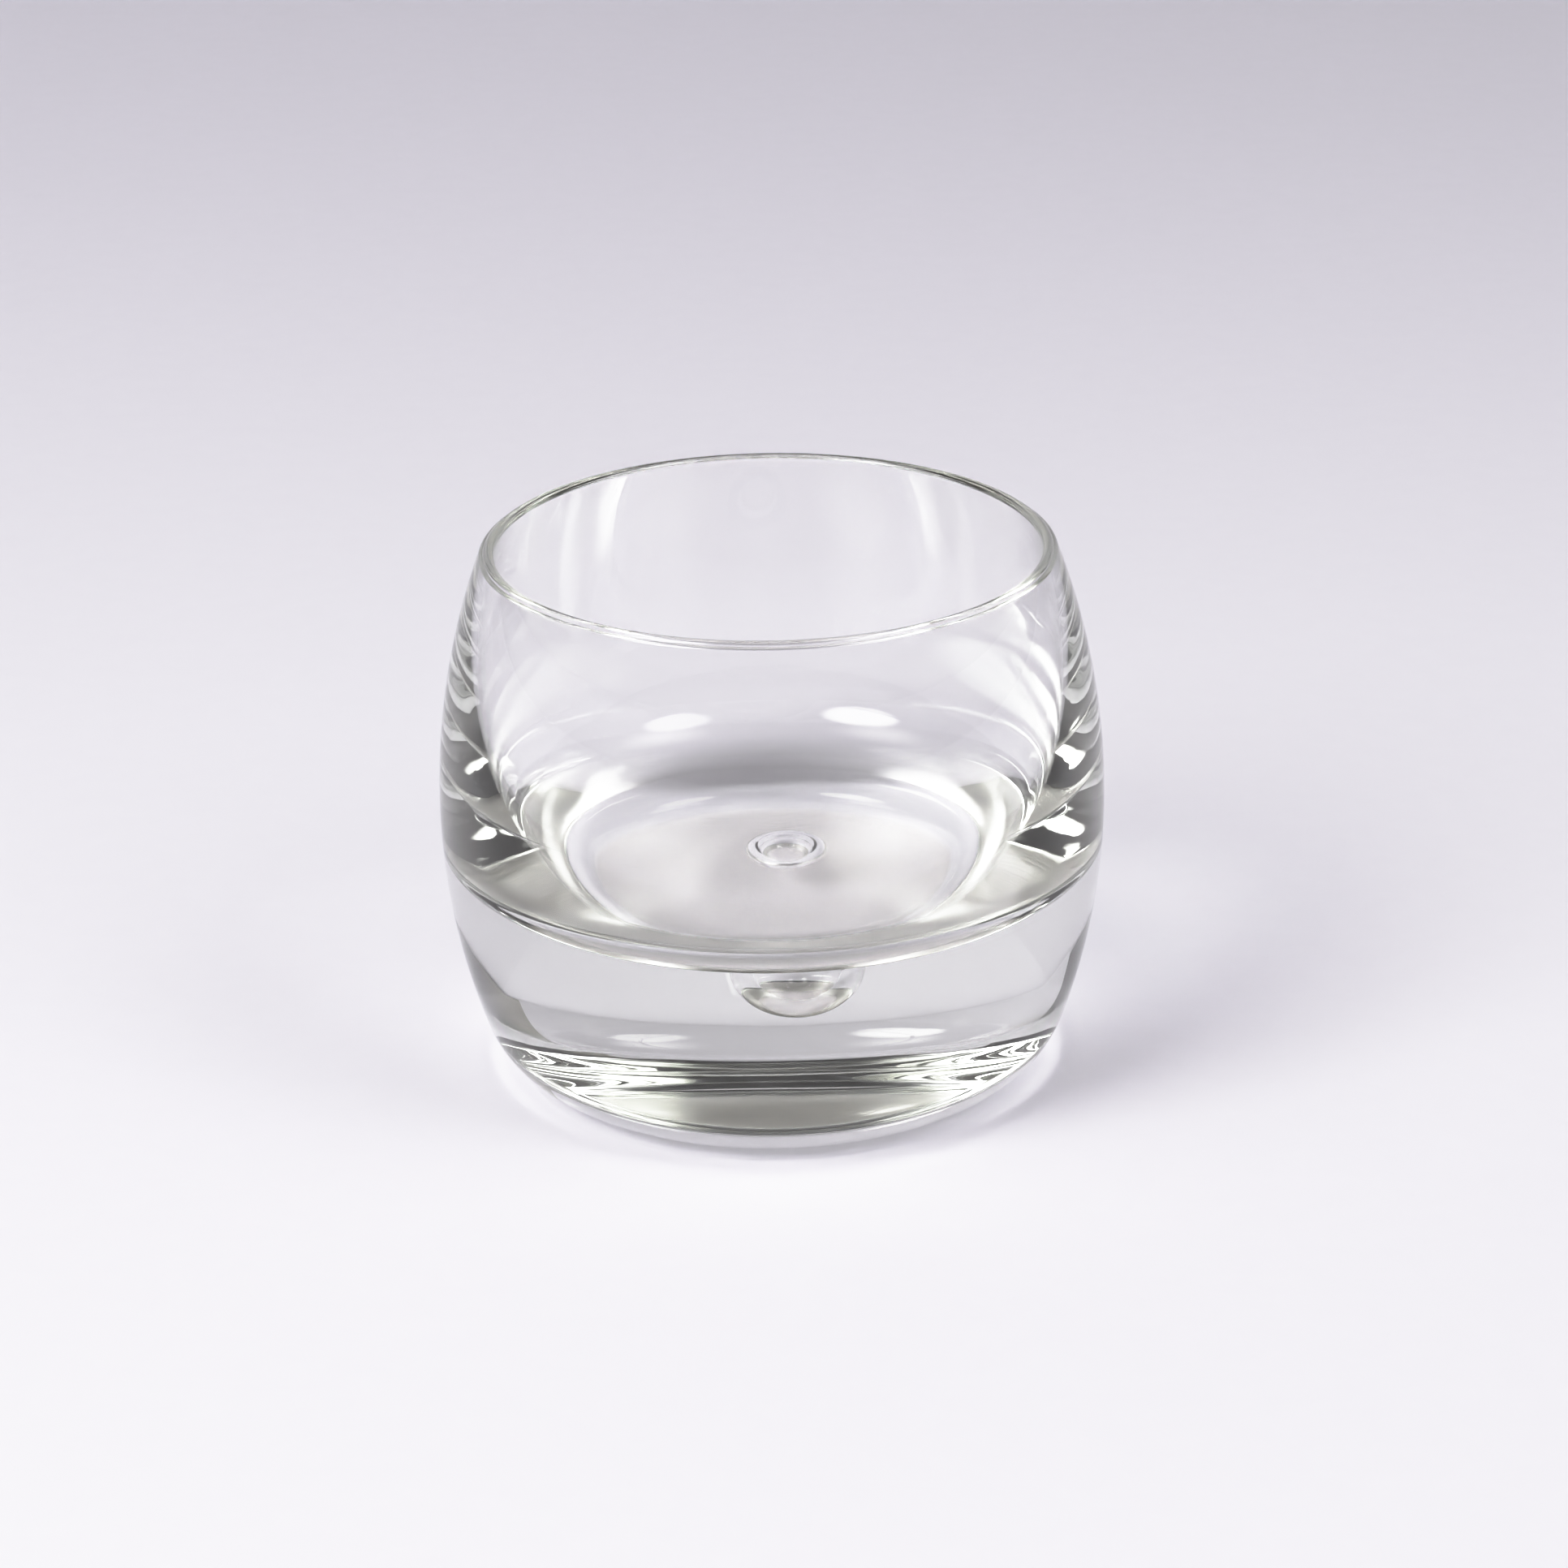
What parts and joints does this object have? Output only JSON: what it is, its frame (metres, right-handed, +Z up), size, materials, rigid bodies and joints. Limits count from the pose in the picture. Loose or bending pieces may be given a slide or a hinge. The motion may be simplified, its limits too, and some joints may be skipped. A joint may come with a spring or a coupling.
{
  "type": "amuse-bouche glass",
  "caption": "Small clear barrel-shaped glass with a thick heavy base and a round air bubble under the floor, for serving amuse-bouches, starters or desserts.",
  "frame": {"origin": "on the table, where the axis of the glass meets the plane that the glass stands on", "axes": "+Z up along the axis of the glass, +X towards the side that the bubble has settled to, -Y towards the viewer"},
  "size_m": [0.08, 0.08, 0.066],
  "materials": {
    "bowl_glass": "clear fire-polished soda-lime glass, very faint grey-green tint at the rim",
    "base_glass": "clear thick soda-lime glass, faint grey-green tint, faintly rippled side, foot and heel finely grained"
  },
  "bodies": {
    "root": {"bowl": "bowl_glass", "base": "base_glass"}
  },
  "joints": []
}
